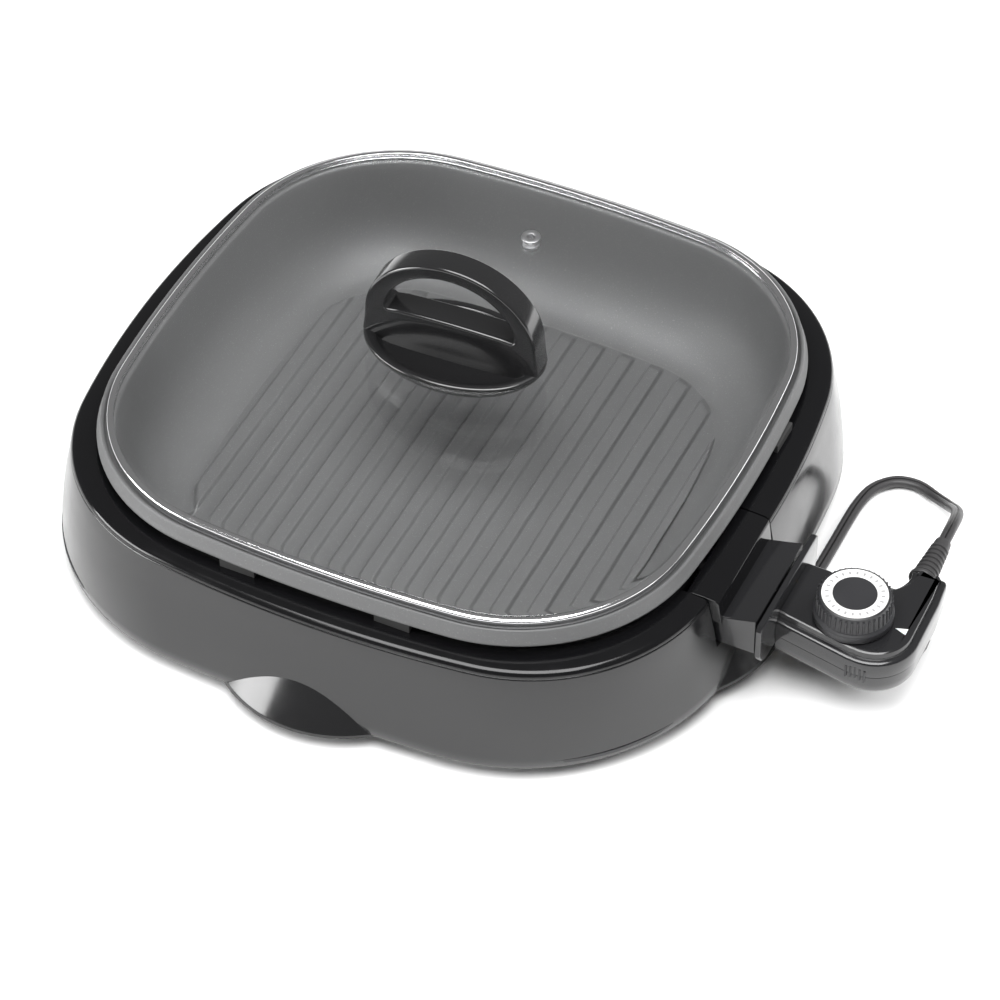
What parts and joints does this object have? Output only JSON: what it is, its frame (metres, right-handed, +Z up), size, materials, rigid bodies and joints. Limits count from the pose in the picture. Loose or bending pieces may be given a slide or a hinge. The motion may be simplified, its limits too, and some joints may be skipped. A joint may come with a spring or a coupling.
{
  "type": "electric griddle",
  "caption": "Square electric griddle: ribbed non-stick pan in a black base, domed glass lid with loop handle, plug-in heat control with dial and cord.",
  "frame": {"origin": "on the surface that the feet stand on, under the middle of the pan", "axes": "+X towards the heat control, +Y along the griddle ribs to the back, +Z up"},
  "size_m": [0.4322, 0.364, 0.1515],
  "materials": {
    "shell_plastic": "glossy black moulded plastic",
    "cover_plastic": "matt black moulded plastic",
    "reflector_steel": "plain aluminised sheet",
    "foot_rubber": "matt black",
    "screw_steel": "zinc plated",
    "pad_silicone": "matt red-brown silicone",
    "pan_coating": "satin grey non-stick coating on cast metal",
    "element_sheath": "heat-darkened metal sheath",
    "pin_steel": "bright nickel plate",
    "ceramic": "unglazed white ceramic",
    "socket_plastic": "glossy black heat-proof plastic",
    "lid_glass": "clear tempered glass",
    "rim_steel": "polished stainless steel",
    "handle_plastic": "glossy black heat-proof plastic",
    "gasket": "matt black silicone",
    "case_plastic": "glossy black moulded plastic",
    "contact_brass": "bright contact brass",
    "block_ceramic": "unglazed cream ceramic",
    "lens": "translucent white",
    "cord_vinyl": "satin black flexible vinyl",
    "dial_plastic": "satin black",
    "dial_print": "white printed disc with grey marks"
  },
  "bodies": {
    "base": {"base_shell": "shell_plastic", "finger_lips": "shell_plastic", "base_bezel": "shell_plastic", "bottom_cover": "cover_plastic", "heat_reflector": "reflector_steel", "rubber_feet": "foot_rubber", "foot_screws": "screw_steel", "cover_screws": "screw_steel", "pan_rest_pads": "pad_silicone"},
    "pan": {"pan": "pan_coating", "heating_element": "element_sheath", "terminal_pins": "pin_steel", "pin_insulators": "ceramic", "socket_housing": "socket_plastic", "socket_screws": "screw_steel", "sensor_well": "pin_steel"},
    "lid": {"lid_glass": "lid_glass", "lid_rim": "rim_steel", "vent_ring": "rim_steel", "handle_base": "handle_plastic", "handle_grip": "handle_plastic", "handle_gasket": "gasket", "handle_screw": "screw_steel"},
    "probe": {"case_top": "case_plastic", "case_bottom": "case_plastic", "guard_plate": "case_plastic", "sensor_rod": "pin_steel", "contact_sleeves": "contact_brass", "contact_block": "block_ceramic", "switch_blades": "contact_brass", "case_screws": "screw_steel", "dial_bushing": "contact_brass", "indicator_lens": "lens", "strain_relief": "cord_vinyl", "power_cord": "cord_vinyl", "cord_hank": "cord_vinyl", "hank_tie": "cord_vinyl", "plug_body": "cord_vinyl", "plug_blades": "contact_brass"},
    "dial": {"dial_knob": "dial_plastic", "dial_ring": "dial_print", "dial_cap": "dial_plastic", "dial_shaft": "screw_steel"}
  },
  "joints": [
    {"name": "pan_lift", "type": "slide", "parent": "base", "child": "pan", "axis": [0, 0, 1], "range_m": [0, 0.12]},
    {"name": "lid_lift", "type": "slide", "parent": "pan", "child": "lid", "axis": [0, 0, 1], "range_m": [0, 0.2]},
    {"name": "probe_pull", "type": "slide", "parent": "pan", "child": "probe", "axis": [1, 0, 0], "range_m": [0, 0.06]},
    {"name": "dial_turn", "type": "hinge", "parent": "probe", "child": "dial", "pos_m": [0.223, -0.037, 0.048], "axis": [0, 0, 1], "range_deg": [-270, 0]}
  ]
}
